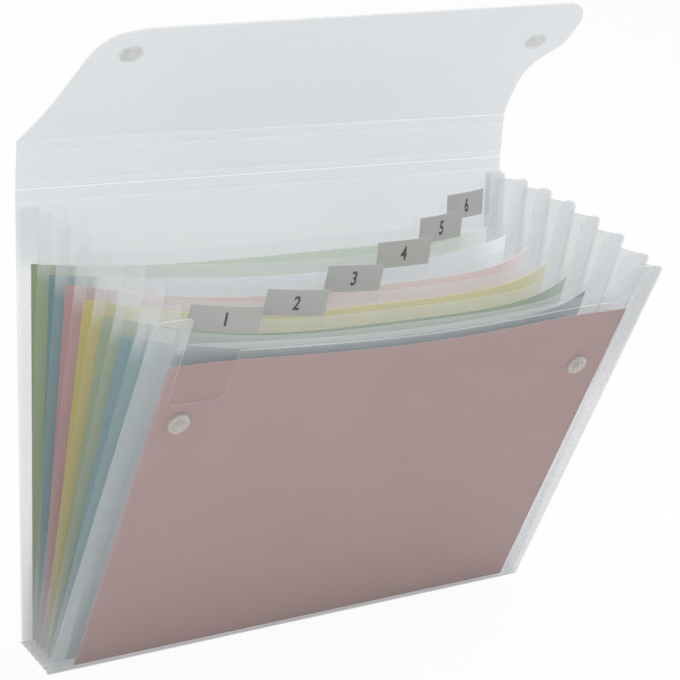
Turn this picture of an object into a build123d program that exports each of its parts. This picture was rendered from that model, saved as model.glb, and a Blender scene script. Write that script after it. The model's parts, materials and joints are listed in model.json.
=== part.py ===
from build123d import *
import os
from math import asin, cos, degrees, hypot, radians, sin, tan

# An expanding file for loose sheets, standing fanned open with its closing flap up.
# Nine flat panels of plastic film stand in a row on a pleated base: the back cover, six
# numbered dividers, the inner front panel and the front cover. Pleated film joins their sides.
# Millimetres. +X is to the right of someone facing the front cover, +Y to the back, +Z up.
# The origin lies on the table, in the middle of the base fold under the middle pocket.

# Panels
PANEL_WIDTH = 325.0
FRONT_HEIGHT = 243.0
BACK_RISE = 6.5
COVER_THICK = 0.8
DIVIDER_THICK = 0.5
PANEL_CORNER = 6.0
EDGE_FLAT = 0.04

# Top edge of the dividers and the front: an ear stands up at each side of a long dip
EAR_WIDTH = 21.5
DIP_DEPTH = 24.0
EAR_ROUND = 2.5
DIP_ROUND = 2.5

# Row of panels on the base, from back to front, and how far each leans out of the upright
POCKET_COUNT = 6
BACK_GAP = 2.0
POCKET_GAP = 4.7
FRONT_GAP = 3.0
BACK_LEAN = -12.0
BACK_STEP = 0.8
POCKET_STEP = 4.25
FRONT_STEP = 2.3
SWING_BELOW = 20.0

# Pleated base
BASE_THICK = 0.5
BASE_RISE = 1.5
FOLD_FLAT = 0.6
BASE_CLEARANCE = 0.3

# Pleated sides
PLEAT_THICK = 0.35
PLEAT_DEPTH = 12.5
FRONT_PLEAT_DEPTH = 9.0
PLEAT_FOOT = 2.0
PLEAT_CLEARANCE = 0.15
PLEAT_TIP = 2.5

# Top strip and closing flap
STRIP_LENGTH = 26.0
STRIP_BEND = 5.2
STRIP_CLOSED = 75.0
FLAP_PAST_STUD = 35.16
FLAP_BEND = 47.6
FLAP_SHOULDER = 14.0
FLAP_TAPER = 14.0
SHOULDER_ROUND = 24.0
FLAP_CORNER = 17.0
FOLD_CLEARANCE = 0.3

# Press studs
STUD_INSET = 32.0
STUD_DOWN = 69.0
STUD_DIAMETER = 12.5
STUD_RIM = 0.8
STUD_STEM = 4.0
STUD_HOLE_CLEARANCE = 0.15
STUD_FIT = 0.05
KNOB_DIAMETER = 5.0
KNOB_HEIGHT = 1.6
KNOB_CLEARANCE = 0.5
STUD_GAP = 0.45
STUD_EDGE = 0.3

# Thumb notch in the front cover, beside its left ear
NOTCH_WIDTH = 32.5
NOTCH_DEPTH = 32.0
NOTCH_CORNER = 6.0
NOTCH_NOOK = 1.0

# Numbered tabs: a clear sleeve with a card label stands up out of the dip, stepped from pocket to pocket
TAB_INSET = 51.25
TAB_DOWN = 5.4
TAB_OVERLAP = 5.0
LABEL_WIDTH = 35.5
LABEL_HEIGHT = 15.0
LABEL_THICK = 0.3
LABEL_CLEARANCE = 0.1
SLEEVE_WALL = 0.25
SLEEVE_RIM = 1.6
SLEEVE_TAIL = 5.5
SLEEVE_CORNER = 1.5

# Loose sheets of coloured paper, 297 by 210 and landscape, one in each pocket. Those behind the
# dividers' tabs lie to the left; the front one lies to the right, against the front cover.
SHEET_INSET = 14.0
SHEET_LEFT_SHIFT = 8.0
SHEET_RIGHT_SHIFT = 2.0
SHEET_BELOW_DIP = 7.5
SHEET_THICK = 0.3
SHEET_CLEARANCE = 0.15
SHEET_LIFT = 1.5

# Worked out: the nine panels, from back to front
NAMES = ["back_cover"]
NAMES += [f"divider_{number}" for number in range(POCKET_COUNT, 0, -1)]
NAMES += ["front_panel", "front_cover"]
GAPS = [BACK_GAP] + [POCKET_GAP] * POCKET_COUNT + [FRONT_GAP]
STEPS = [BACK_STEP] + [POCKET_STEP] * POCKET_COUNT + [FRONT_STEP]
MIDDLE_GAP = len(GAPS) // 2
BACK_Y = sum(GAPS[:MIDDLE_GAP]) + GAPS[MIDDLE_GAP] / 2
PLACES = {name: BACK_Y - sum(GAPS[:index]) for index, name in enumerate(NAMES)}
LEANS = {name: BACK_LEAN + sum(STEPS[:index]) for index, name in enumerate(NAMES)}
THICKS = {name: COVER_THICK if name.endswith("cover") else DIVIDER_THICK for name in NAMES}
PANEL_FOOT = BASE_THICK + BASE_RISE + BASE_CLEARANCE
BACK_HEIGHT = FRONT_HEIGHT + BACK_RISE
DIP_HEIGHT = FRONT_HEIGHT - DIP_DEPTH
EAR_INNER = PANEL_WIDTH / 2 - EAR_WIDTH
SHEETS = {f"sheet_{number}": f"divider_{number}" for number in range(1, POCKET_COUNT + 1)}
SHEETS["sheet_front"] = "front_cover"
SHEET_WIDTH = PANEL_WIDTH - 2 * SHEET_INSET
SHEET_HEIGHT = DIP_HEIGHT - SHEET_BELOW_DIP - SHEET_LIFT
TAB_FIRST_X = TAB_INSET - PANEL_WIDTH / 2
TAB_STEP = (PANEL_WIDTH - 2 * TAB_INSET) / (POCKET_COUNT - 1)
STUD_X = PANEL_WIDTH / 2 - STUD_INSET
STUD_HEIGHT = FRONT_HEIGHT - STUD_DOWN

# Worked out: the lines that the strip and the flap fold on
STRIP_LEAN = BACK_LEAN + STRIP_BEND
FLAP_LEAN = STRIP_LEAN + FLAP_BEND


def along(lean, length):
    """Y and Z of a stretch that leans forward out of the upright."""
    return -length * sin(radians(lean)), length * cos(radians(lean))


STRIP_FOLD_Y = PLACES["back_cover"] + along(BACK_LEAN, BACK_HEIGHT)[0]
STRIP_FOLD_Z = PANEL_FOOT + along(BACK_LEAN, BACK_HEIGHT)[1]
FLAP_FOLD_Y = STRIP_FOLD_Y + along(STRIP_LEAN, STRIP_LENGTH)[0]
FLAP_FOLD_Z = STRIP_FOLD_Z + along(STRIP_LEAN, STRIP_LENGTH)[1]


def swing_line(name):
    """Y and Z of the line that a panel swings about: on its own plane, below its foot."""
    down_y, down_z = along(LEANS[name], -SWING_BELOW)
    return PLACES[name] + down_y, PANEL_FOOT + down_z


def upright_foot(name):
    """Y and Z of a panel's foot once the fan is closed and the panel stands upright."""
    y, z = swing_line(name)
    return y, z + SWING_BELOW


# Worked out: where the flap's studs sit, so that they meet the front ones when all is closed
BACK_UPRIGHT = upright_foot("back_cover")
FRONT_UPRIGHT = upright_foot("front_cover")
CLOSED_FOLD_Y = BACK_UPRIGHT[0] + along(STRIP_CLOSED, STRIP_LENGTH)[0]
CLOSED_FOLD_Z = BACK_UPRIGHT[1] + BACK_HEIGHT + along(STRIP_CLOSED, STRIP_LENGTH)[1]
STUD_REACH_Y = FRONT_UPRIGHT[0] - COVER_THICK - 2 * STUD_RIM - STUD_GAP - CLOSED_FOLD_Y
STUD_REACH_Z = CLOSED_FOLD_Z - FRONT_UPRIGHT[1] - STUD_HEIGHT
FLAP_STUD = hypot(STUD_REACH_Y, STUD_REACH_Z)
FLAP_LENGTH = FLAP_STUD + FLAP_PAST_STUD
FLAP_CLOSED = 180 + degrees(asin(STUD_REACH_Y / FLAP_STUD)) - STRIP_CLOSED


def stand(shape, name):
    """Puts a shape drawn on an upright panel at the origin where that panel stands."""
    return Pos(0, PLACES[name], PANEL_FOOT) * Rot(LEANS[name], 0, 0) * shape


def plate(outline, thick):
    """A flat plate from an outline drawn in X and height, half its thickness each side."""
    return extrude(Plane.XZ * outline, amount=thick / 2, both=True)


def slab(outline, thick, front):
    """A flat piece from an outline in X and height, whose front face lies at a given Y."""
    return Pos(0, front + thick / 2, 0) * plate(outline, thick)


def round_ends(shape, thick, *levels):
    """Rounds a plate's long straight ends, at the given heights, into half circles."""
    edges = []
    for level in levels:
        edges += shape.edges().filter_by(Axis.X).filter_by_position(Axis.Z, level - EDGE_FLAT, level + EDGE_FLAT)
    return fillet(edges, thick / 2 - EDGE_FLAT)


def corners_at(outline, *places):
    """The vertices of an outline at the given places."""
    found = []
    for x, y in places:
        found += [v for v in outline.vertices() if abs(v.X - x) + abs(v.Y - y) < EDGE_FLAT]
    return found


def eared_outline():
    """A panel's outline, standing on the X axis, with an ear at each side of its dipped top edge."""
    outline = Rectangle(PANEL_WIDTH, FRONT_HEIGHT, align=(Align.CENTER, Align.MIN))
    outline -= Pos(0, FRONT_HEIGHT) * Rectangle(2 * EAR_INNER, 2 * DIP_DEPTH)
    half = PANEL_WIDTH / 2
    outline = fillet(corners_at(outline, (-half, FRONT_HEIGHT), (half, FRONT_HEIGHT)), PANEL_CORNER)
    outline = fillet(corners_at(outline, (-EAR_INNER, FRONT_HEIGHT), (EAR_INNER, FRONT_HEIGHT)), EAR_ROUND)
    return fillet(corners_at(outline, (-EAR_INNER, DIP_HEIGHT), (EAR_INNER, DIP_HEIGHT)), DIP_ROUND)


def both_studs(shape):
    """One shape at each of the two studs across the width."""
    return Compound(children=[Pos(-STUD_X, 0, 0) * shape, Pos(STUD_X, 0, 0) * shape])


def disc(diameter, thick, height, front):
    """A round piece on a panel, at a given height, whose front face lies at a given Y."""
    return slab(Pos(0, height) * Circle(diameter / 2), thick, front)


def stud_holes(height):
    """The holes that the two stud stems pass through."""
    hole = disc(STUD_STEM + 2 * STUD_HOLE_CLEARANCE, 4 * COVER_THICK, height, -2 * COVER_THICK)
    return Pos(-STUD_X, 0, 0) * hole + Pos(STUD_X, 0, 0) * hole


def divider(name):
    """A divider or front panel: one plain sheet of film with an eared top edge."""
    return round_ends(plate(eared_outline(), THICKS[name]), THICKS[name], 0)


def front_cover():
    """The front cover, with its thumb notch and the holes for its two studs."""
    left = -EAR_INNER
    right = left + NOTCH_WIDTH
    low = DIP_HEIGHT - NOTCH_DEPTH
    notch = Pos(left, low) * Rectangle(NOTCH_WIDTH, NOTCH_DEPTH + DIP_DEPTH / 2, align=(Align.MIN, Align.MIN))
    notch = fillet(corners_at(notch, (right, low)), NOTCH_CORNER)
    notch = fillet(corners_at(notch, (left, low)), NOTCH_NOOK)
    cover = divider("front_cover") - plate(notch, 4 * COVER_THICK)
    return cover - stud_holes(STUD_HEIGHT)


def back_cover():
    """The back cover: square at its top, where it runs on into the strip over a fold."""
    outline = Rectangle(PANEL_WIDTH, BACK_HEIGHT - FOLD_CLEARANCE, align=(Align.CENTER, Align.MIN))
    return round_ends(plate(outline, COVER_THICK), COVER_THICK, 0, BACK_HEIGHT - FOLD_CLEARANCE)


def on_strip(shape):
    """Puts a shape drawn on an upright strip at the origin where the top strip stands."""
    return Pos(0, STRIP_FOLD_Y, STRIP_FOLD_Z) * Rot(STRIP_LEAN, 0, 0) * shape


def on_flap(shape):
    """Puts a shape drawn on an upright flap at the origin where the closing flap stands."""
    return Pos(0, FLAP_FOLD_Y, FLAP_FOLD_Z) * Rot(FLAP_LEAN, 0, 0) * shape


def top_strip():
    """The strip between the two folds, which lies over the top of the closed file."""
    length = STRIP_LENGTH - 2 * FOLD_CLEARANCE
    outline = Pos(0, FOLD_CLEARANCE) * Rectangle(PANEL_WIDTH, length, align=(Align.CENTER, Align.MIN))
    return round_ends(plate(outline, COVER_THICK), COVER_THICK, FOLD_CLEARANCE, STRIP_LENGTH - FOLD_CLEARANCE)


def closing_flap():
    """The flap: full width at its fold, drawn in to a narrower end with large round corners."""
    half = PANEL_WIDTH / 2
    right = [(half, FOLD_CLEARANCE), (half, FLAP_SHOULDER), (half - FLAP_TAPER, FLAP_LENGTH)]
    left = [(-x, height) for x, height in reversed(right)]
    outline = make_face(Polyline(*right, *left, close=True))
    corners = outline.vertices().sort_by(Axis.Y)
    outline = fillet(corners[-2:], FLAP_CORNER)
    shoulders = [v for v in outline.vertices() if abs(v.Y - FLAP_SHOULDER) < EDGE_FLAT]
    outline = fillet(shoulders, SHOULDER_ROUND)
    flap = round_ends(plate(outline, COVER_THICK), COVER_THICK, FOLD_CLEARANCE)
    return flap - stud_holes(FLAP_STUD)


def soft_rim(shape):
    """A round stud piece with its outer edges eased."""
    rims = shape.edges().filter_by(GeomType.CIRCLE).filter_by(lambda e: e.radius > STUD_DIAMETER / 2 - EDGE_FLAT)
    return chamfer(rims, STUD_EDGE)


def stud_post():
    """Front stud, outer half: a rim on the cover, a knob to snap on, and a stem through the cover."""
    face = -COVER_THICK / 2
    rim = soft_rim(disc(STUD_DIAMETER, STUD_RIM, STUD_HEIGHT, face - STUD_RIM))
    knob = disc(KNOB_DIAMETER, KNOB_HEIGHT, STUD_HEIGHT, face - KNOB_HEIGHT)
    knob = chamfer(knob.edges().group_by(Axis.Y)[0], STUD_EDGE)
    stem = disc(STUD_STEM, COVER_THICK + STUD_RIM, STUD_HEIGHT, face)
    return rim + knob + stem


def stud_ring(height, front, hole):
    """A flat ring with eased edges round a stud's stem or knob."""
    ring = soft_rim(disc(STUD_DIAMETER, STUD_RIM, height, front))
    return ring - disc(hole, STUD_RIM, height, front)


def stud_cap():
    """Flap stud, outer half: a cap on the flap's outside and a short stem through the flap."""
    cap = soft_rim(disc(STUD_DIAMETER, STUD_RIM, FLAP_STUD, COVER_THICK / 2))
    return cap + disc(STUD_STEM, COVER_THICK, FLAP_STUD, -COVER_THICK / 2)


def stud_socket():
    """Flap stud, inner half: the ring that snaps over the front stud's knob."""
    hole = KNOB_DIAMETER + 2 * KNOB_CLEARANCE
    return stud_ring(FLAP_STUD, -COVER_THICK / 2 - STUD_RIM, hole)


def sleeve(number, face):
    """A clear sleeve on a divider's front face, open at its left end for the label to slide in."""
    width = LABEL_WIDTH + SLEEVE_TAIL + SLEEVE_RIM
    top = FRONT_HEIGHT - TAB_DOWN
    low = DIP_HEIGHT - TAB_OVERLAP
    slot_height = LABEL_HEIGHT + 2 * LABEL_CLEARANCE
    slot_thick = LABEL_THICK + 2 * LABEL_CLEARANCE
    slot_low = top - SLEEVE_RIM - LABEL_HEIGHT - LABEL_CLEARANCE
    thick = slot_thick + 2 * SLEEVE_WALL
    left = TAB_FIRST_X + (number - 1) * TAB_STEP - LABEL_WIDTH / 2 - SLEEVE_TAIL
    outer = Pos(left, low) * Rectangle(width, top - low, align=(Align.MIN, Align.MIN))
    slot = Pos(left, slot_low) * Rectangle(width - SLEEVE_RIM, slot_height, align=(Align.MIN, Align.MIN))
    outer = fillet(outer.vertices(), SLEEVE_CORNER)
    return slab(outer, thick, face - thick) - slab(slot, slot_thick, face - SLEEVE_WALL - slot_thick)


def label(number, face):
    """The card label inside a sleeve."""
    low = FRONT_HEIGHT - TAB_DOWN - SLEEVE_RIM - LABEL_HEIGHT
    right = TAB_FIRST_X + (number - 1) * TAB_STEP + LABEL_WIDTH / 2 - LABEL_CLEARANCE
    card = Pos(right, low) * Rectangle(LABEL_WIDTH, LABEL_HEIGHT, align=(Align.MAX, Align.MIN))
    return slab(card, LABEL_THICK, face - SLEEVE_WALL - LABEL_CLEARANCE - LABEL_THICK)


def paper(name):
    """One loose sheet against its panel: before a divider, or behind the front cover and its studs."""
    half = THICKS[SHEETS[name]] / 2
    if SHEETS[name] == "front_cover":
        front = half + STUD_RIM + SHEET_CLEARANCE
        middle = SHEET_RIGHT_SHIFT
    else:
        front = -half - SHEET_CLEARANCE - SHEET_THICK
        middle = -SHEET_LEFT_SHIFT
    outline = Pos(middle, SHEET_LIFT) * Rectangle(SHEET_WIDTH, SHEET_HEIGHT, align=(Align.CENTER, Align.MIN))
    return slab(outline, SHEET_THICK, front)


def face_at(name, height, side):
    """Y of a panel's front (side -1) or rear (side 1) face at a given height above the table."""
    lean = radians(LEANS[name])
    return PLACES[name] - (height - PANEL_FOOT) * tan(lean) + side * THICKS[name] / 2 / cos(lean)


def pleat_section(rear, front, height):
    """Corners of the chevron of film between two panels' right-hand edges, cut level at a height."""
    back = face_at(rear, height, -1) - PLEAT_CLEARANCE
    fore = face_at(front, height, 1) + PLEAT_CLEARANCE
    middle = (back + fore) / 2
    edge = PANEL_WIDTH / 2
    depth = FRONT_PLEAT_DEPTH if front == "front_cover" else PLEAT_DEPTH
    leg = hypot(depth, (back - fore) / 2)
    wall = PLEAT_THICK * leg / depth
    tip = min(PLEAT_TIP, wall * depth / ((back - fore) / 2 - wall))
    inner = [(edge, back), (edge - depth - tip, middle), (edge, fore)]
    outer = [(edge, fore + wall), (edge - depth, middle), (edge, back - wall)]
    return [(x, y, height) for x, y in inner + outer]


def pleat(rear, front):
    """One pleat of the right-hand side: two legs of film that meet in a fold between the panels."""
    steepest = max(abs(LEANS[rear]), abs(LEANS[front]))
    top = pleat_section(rear, front, PANEL_FOOT + along(steepest, FRONT_HEIGHT - PANEL_CORNER)[1])
    low = pleat_section(rear, front, PANEL_FOOT + PLEAT_FOOT)
    walls = [low, top]
    for here in range(len(low)):
        after = (here + 1) % len(low)
        walls += [[low[here], low[after], top[after]], [low[here], top[after], top[here]]]
    return Solid(Shell([Face(Wire.make_polygon(corners)) for corners in walls]))


def base_gusset():
    """The pleated base: a fold up under each panel, a fold down onto the table between them."""
    rows = list(PLACES.values())
    ups = [(y, BASE_RISE) for y in rows]
    downs = [((a + b) / 2, 0) for a, b in zip(rows, rows[1:])]
    ends = [(rows[0] + BACK_GAP / 2, 0), (rows[-1] - BACK_GAP / 2, 0)]
    folds = sorted(ups + downs + ends, reverse=True)
    under = []
    for y, z in folds:
        under += [(y + FOLD_FLAT / 2, z), (y - FOLD_FLAT / 2, z)]
    over = [(y, z + BASE_THICK) for y, z in reversed(under)]
    profile = make_face(Polyline(*under, *over, close=True))
    return extrude(Plane.YZ * profile, amount=PANEL_WIDTH / 2, both=True)


def build_pieces():
    """Every piece of the file, by name, where it stands."""
    pieces = {"base_gusset": base_gusset(), "back_cover": stand(back_cover(), "back_cover")}
    pieces["top_strip"] = on_strip(top_strip())
    pieces["closing_flap"] = on_flap(closing_flap())
    pieces["front_cover"] = stand(front_cover(), "front_cover")
    for name in NAMES[1:-1]:
        pieces[name] = stand(divider(name), name)
    for number in range(1, POCKET_COUNT + 1):
        carrier = f"divider_{number}"
        face = -THICKS[carrier] / 2
        pieces[f"tab_sleeve_{number}"] = stand(sleeve(number, face), carrier)
        pieces[f"tab_label_{number}"] = stand(label(number, face), carrier)
    for name, carrier in SHEETS.items():
        pieces[name] = stand(paper(name), carrier)
    ring = stud_ring(STUD_HEIGHT, COVER_THICK / 2, STUD_STEM + 2 * STUD_FIT)
    pieces["front_stud_posts"] = stand(both_studs(stud_post()), "front_cover")
    pieces["front_stud_rings"] = stand(both_studs(ring), "front_cover")
    pieces["flap_stud_caps"] = on_flap(both_studs(stud_cap()))
    pieces["flap_stud_sockets"] = on_flap(both_studs(stud_socket()))
    for number, (rear, front) in enumerate(zip(NAMES, NAMES[1:]), start=1):
        right = pleat(rear, front)
        pieces[f"right_pleat_{number}"] = right
        pieces[f"left_pleat_{number}"] = mirror(right, about=Plane.YZ)
    return pieces


def print_layout():
    """Prints the lines that the panels, the strip and the flap turn about."""
    for name in NAMES:
        y, z = swing_line(name)
        print(f"{name}: leans {LEANS[name]:.3f} degrees, swings about y {y:.4f} z {z:.4f}")
    print(f"strip: folds at y {STRIP_FOLD_Y:.4f} z {STRIP_FOLD_Z:.4f}, closes by {STRIP_CLOSED - STRIP_BEND:.3f}")
    print(f"flap: folds at y {FLAP_FOLD_Y:.4f} z {FLAP_FOLD_Z:.4f}, closes by {FLAP_CLOSED - FLAP_BEND:.3f}")
    print(f"flap studs: {FLAP_STUD:.3f} from the fold")


os.makedirs("parts", exist_ok=True)
print_layout()
for piece_name, piece in build_pieces().items():
    export_step(piece, f"parts/{piece_name}.step")
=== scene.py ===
# %% [markdown]
# # An expanding file with coloured sheets
# A file of frosted film stands fanned open on a pleated base, with its closing flap up. The solids
# come from a CAD model. This script dresses them: each stiff flat panel of the model becomes a thin
# sheet that bows as real film does, and the pleats, studs, labels and papers get their finishes.

# %% Open the frame
import json
import math

import bmesh
import bpy
import numpy as np
from mathutils import Matrix, Vector
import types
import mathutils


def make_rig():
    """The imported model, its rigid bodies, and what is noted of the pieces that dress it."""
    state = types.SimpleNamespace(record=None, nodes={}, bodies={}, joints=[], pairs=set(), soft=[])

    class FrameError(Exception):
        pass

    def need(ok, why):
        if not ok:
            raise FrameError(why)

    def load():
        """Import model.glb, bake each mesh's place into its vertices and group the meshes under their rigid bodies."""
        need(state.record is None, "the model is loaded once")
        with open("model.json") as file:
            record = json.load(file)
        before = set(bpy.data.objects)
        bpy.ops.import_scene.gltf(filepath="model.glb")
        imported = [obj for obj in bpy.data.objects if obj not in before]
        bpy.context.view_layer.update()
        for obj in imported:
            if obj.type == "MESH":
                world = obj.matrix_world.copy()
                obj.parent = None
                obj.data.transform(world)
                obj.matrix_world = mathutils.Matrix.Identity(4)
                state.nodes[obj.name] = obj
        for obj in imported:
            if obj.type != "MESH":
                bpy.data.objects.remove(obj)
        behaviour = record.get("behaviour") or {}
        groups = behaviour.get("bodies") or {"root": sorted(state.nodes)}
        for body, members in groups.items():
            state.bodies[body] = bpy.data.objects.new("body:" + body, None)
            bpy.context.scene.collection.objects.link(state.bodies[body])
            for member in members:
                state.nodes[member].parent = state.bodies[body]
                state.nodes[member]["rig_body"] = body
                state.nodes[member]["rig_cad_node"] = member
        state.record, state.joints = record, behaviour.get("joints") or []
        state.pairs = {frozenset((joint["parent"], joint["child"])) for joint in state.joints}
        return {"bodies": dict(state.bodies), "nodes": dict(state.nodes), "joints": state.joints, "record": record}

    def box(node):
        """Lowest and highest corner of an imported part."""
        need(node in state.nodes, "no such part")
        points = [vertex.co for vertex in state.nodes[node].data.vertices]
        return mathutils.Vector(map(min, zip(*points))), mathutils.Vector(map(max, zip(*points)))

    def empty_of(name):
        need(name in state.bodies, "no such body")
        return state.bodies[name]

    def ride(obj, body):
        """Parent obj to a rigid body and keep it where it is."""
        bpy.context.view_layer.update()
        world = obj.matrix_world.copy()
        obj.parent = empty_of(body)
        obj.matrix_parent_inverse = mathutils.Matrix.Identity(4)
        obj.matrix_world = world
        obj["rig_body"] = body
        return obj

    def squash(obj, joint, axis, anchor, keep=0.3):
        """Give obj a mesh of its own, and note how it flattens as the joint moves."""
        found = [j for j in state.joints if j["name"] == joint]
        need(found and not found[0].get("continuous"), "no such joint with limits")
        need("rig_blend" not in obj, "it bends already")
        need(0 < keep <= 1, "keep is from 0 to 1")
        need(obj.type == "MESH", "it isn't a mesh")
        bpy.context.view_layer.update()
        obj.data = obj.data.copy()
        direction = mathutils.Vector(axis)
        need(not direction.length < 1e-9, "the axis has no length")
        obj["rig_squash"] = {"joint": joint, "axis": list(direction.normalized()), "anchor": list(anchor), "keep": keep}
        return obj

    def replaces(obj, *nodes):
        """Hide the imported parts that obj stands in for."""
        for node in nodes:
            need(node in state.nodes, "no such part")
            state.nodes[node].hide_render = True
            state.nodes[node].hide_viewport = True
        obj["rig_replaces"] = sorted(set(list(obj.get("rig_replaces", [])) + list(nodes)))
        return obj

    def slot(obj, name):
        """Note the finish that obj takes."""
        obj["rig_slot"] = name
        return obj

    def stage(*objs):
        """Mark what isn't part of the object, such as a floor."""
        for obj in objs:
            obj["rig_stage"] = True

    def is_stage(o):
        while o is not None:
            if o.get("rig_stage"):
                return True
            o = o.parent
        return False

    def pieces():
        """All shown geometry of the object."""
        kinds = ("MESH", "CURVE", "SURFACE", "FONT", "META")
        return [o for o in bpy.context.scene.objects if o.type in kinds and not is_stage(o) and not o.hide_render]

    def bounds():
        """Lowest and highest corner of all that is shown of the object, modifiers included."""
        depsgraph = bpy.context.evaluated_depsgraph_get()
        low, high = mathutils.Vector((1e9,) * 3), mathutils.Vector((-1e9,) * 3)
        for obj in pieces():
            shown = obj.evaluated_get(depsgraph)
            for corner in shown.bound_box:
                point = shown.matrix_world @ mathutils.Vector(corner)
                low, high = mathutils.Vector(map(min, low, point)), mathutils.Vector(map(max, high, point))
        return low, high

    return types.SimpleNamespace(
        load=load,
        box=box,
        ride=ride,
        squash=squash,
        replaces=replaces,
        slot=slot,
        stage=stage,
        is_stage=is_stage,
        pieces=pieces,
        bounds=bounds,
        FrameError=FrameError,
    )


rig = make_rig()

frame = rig.load()
CAD_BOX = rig.bounds()
MM = 0.001
print("solids in the frame:", len(frame["nodes"]))

# %% [markdown]
# ## Where the panels stand
# Every panel turns about a line a little below its own foot. The joints in the frame give that line
# and how far the panel leans, so the sheets drawn here always follow the solids. A small class keeps
# one panel's foot, its upward and forward directions, and turns a place on the panel into a point.

# %% Panel planes
SWING_BELOW = 20 * MM
JOINTS = {joint["name"]: joint for joint in frame["joints"]}
COUPLINGS = {row["joint"]: row["ratio"] for row in frame["record"]["behaviour"]["couplings"]}
FRONT_LEAN = JOINTS["front_fan"]["range_deg"][1]


class Plane:
    """A flat place to draw on: x runs across, up runs up the panel, depth runs forward off it."""

    def __init__(self, body, foot, up):
        self.body = body
        self.foot = Vector(foot)
        self.up = Vector(up).normalized()
        self.front = self.up.cross(Vector((1, 0, 0))) * -1
        if self.front.y > 0:
            self.front.negate()

    def at(self, x, up, depth=0.0):
        """The point at a place on the panel, in metres in the frame."""
        return self.foot + Vector((x, 0, 0)) + self.up * up + self.front * depth


def fan_plane(body, joint):
    """The plane of one panel of the fan, from the joint that it swings on."""
    lean = math.radians(FRONT_LEAN * COUPLINGS.get(joint, 1.0))
    up = Vector((0, -math.sin(lean), math.cos(lean)))
    return Plane(body, Vector(JOINTS[joint]["pos_m"]) + up * SWING_BELOW, up)


def fold_plane(body, joint, node):
    """The plane of a piece that hangs on a fold, from the fold line to the middle of its solid."""
    fold = Vector(JOINTS[joint]["pos_m"])
    low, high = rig.box(node)
    middle = (low + high) / 2 - fold
    return Plane(body, fold, (0, middle.y, middle.z))


DIVIDERS = [f"divider_{number}" for number in range(6, 0, -1)]
PLANES = {"back_cover": fan_plane("back", "back_fan")}
for divider_name in DIVIDERS:
    pocket = divider_name.replace("divider", "pocket")
    PLANES[divider_name] = fan_plane(pocket, f"{pocket}_fan")
PLANES["front_panel"] = fan_plane("inner_front", "inner_front_fan")
PLANES["front_cover"] = fan_plane("front", "front_fan")
PLANES["top_strip"] = fold_plane("strip", "strip_fold", "top_strip")
PLANES["closing_flap"] = fold_plane("flap", "flap_fold", "closing_flap")
ROW = ["back_cover"] + DIVIDERS + ["front_panel", "front_cover"]
for plane_name in PLANES:
    print(plane_name, "foot", [round(value, 4) for value in PLANES[plane_name].foot])

# %% [markdown]
# ## Shader maths as plain Python
# Node trees are easier to read when a sum looks like a sum. `Value` wraps one socket and gives it
# the usual operators, and `Finish` makes every other node through one method.

# %% Node helpers


class Value:
    """One socket of a node tree, with operators that add Math nodes."""

    def __init__(self, finish, socket):
        self.finish = finish
        self.socket = socket

    def math(self, operation, first, second):
        """One Math node on two sockets or numbers."""
        return self.finish.node("Math", {"operation": operation}, {0: first, 1: second})

    def __add__(self, other):
        return self.math("ADD", self, other)

    def __sub__(self, other):
        return self.math("SUBTRACT", self, other)

    def __rsub__(self, other):
        return self.math("SUBTRACT", other, self)

    def __mul__(self, other):
        return self.math("MULTIPLY", self, other)

    __radd__ = __add__
    __rmul__ = __mul__


class Finish:
    """One material, built up node by node."""

    def __init__(self, name):
        self.material = bpy.data.materials.new(name)
        self.material.use_nodes = True
        self.tree = self.material.node_tree
        self.tree.nodes.clear()
        self.end = self.tree.nodes.new("ShaderNodeOutputMaterial")

    def node(self, kind, settings=None, inputs=None, output=0):
        """Adds a node: its settings first, then the values or links of its sockets."""
        made = self.tree.nodes.new("ShaderNode" + kind)
        for key, value in (settings or {}).items():
            setattr(made, key, value)
        for key, value in (inputs or {}).items():
            if isinstance(value, Value):
                self.tree.links.new(value.socket, made.inputs[key])
            else:
                made.inputs[key].default_value = value
        return Value(self, made.outputs[output])

    def noise(self, scale, detail=2.0):
        """A cloudy pattern in the piece's own coordinates; scale is in repeats per metre."""
        place = self.node("TexCoord", output="Object")
        return self.node("TexNoise", inputs={"Vector": place, "Scale": scale, "Detail": detail})

    def bump(self, height, strength, distance):
        """A bump from a height pattern; distance is in metres."""
        return self.node("Bump", inputs={"Height": height, "Strength": strength, "Distance": distance})

    def tint(self, factor, first, second):
        """A colour between two, by a factor."""
        settings = {"data_type": "RGBA"}
        return self.node("Mix", settings, {0: factor, 6: first, 7: second}, output=2)

    def finish(self, **inputs):
        """Ends the tree in a Principled surface, and gives back the material."""
        named = {key.replace("_", " "): value for key, value in inputs.items()}
        surface = self.node("BsdfPrincipled", inputs=named)
        self.tree.links.new(surface.socket, self.end.inputs["Surface"])
        return self.material


def paint(red, green, blue):
    """A colour as it looks on screen, 0 to 255, turned into the linear values that shaders use."""
    shares = [channel / 255 for channel in (red, green, blue)]
    return [s / 12.92 if s <= 0.04045 else ((s + 0.055) / 1.055) ** 2.4 for s in shares] + [1.0]


print("shader helpers ready")

# %% [markdown]
# ## Frosted film
# The real film is clear polypropylene with a frosted skin: it lets what lies against it show through
# and turns what stands further off into a pale haze. A rough refracting solid would be true to that,
# but with some thirty layers in a row it turns dark and noisy. A pale satin surface with a low alpha
# gives the same haze, layer on layer. Two noises break it up: a fine grain in the roughness, and a
# slow cloud in the haze. A faint glow stands for the light that the inner layers pass on.

# %% Film finishes
FILM = paint(228, 231, 233)
COOL_FILM = paint(225, 232, 238)
FILM_EDGE = paint(244, 246, 248)
PLASTIC_IOR = 1.49
GRAIN_SCALE = 1500.0
CLOUD_SCALE = 14.0
CLOUD_SHARE = 0.2


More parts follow.
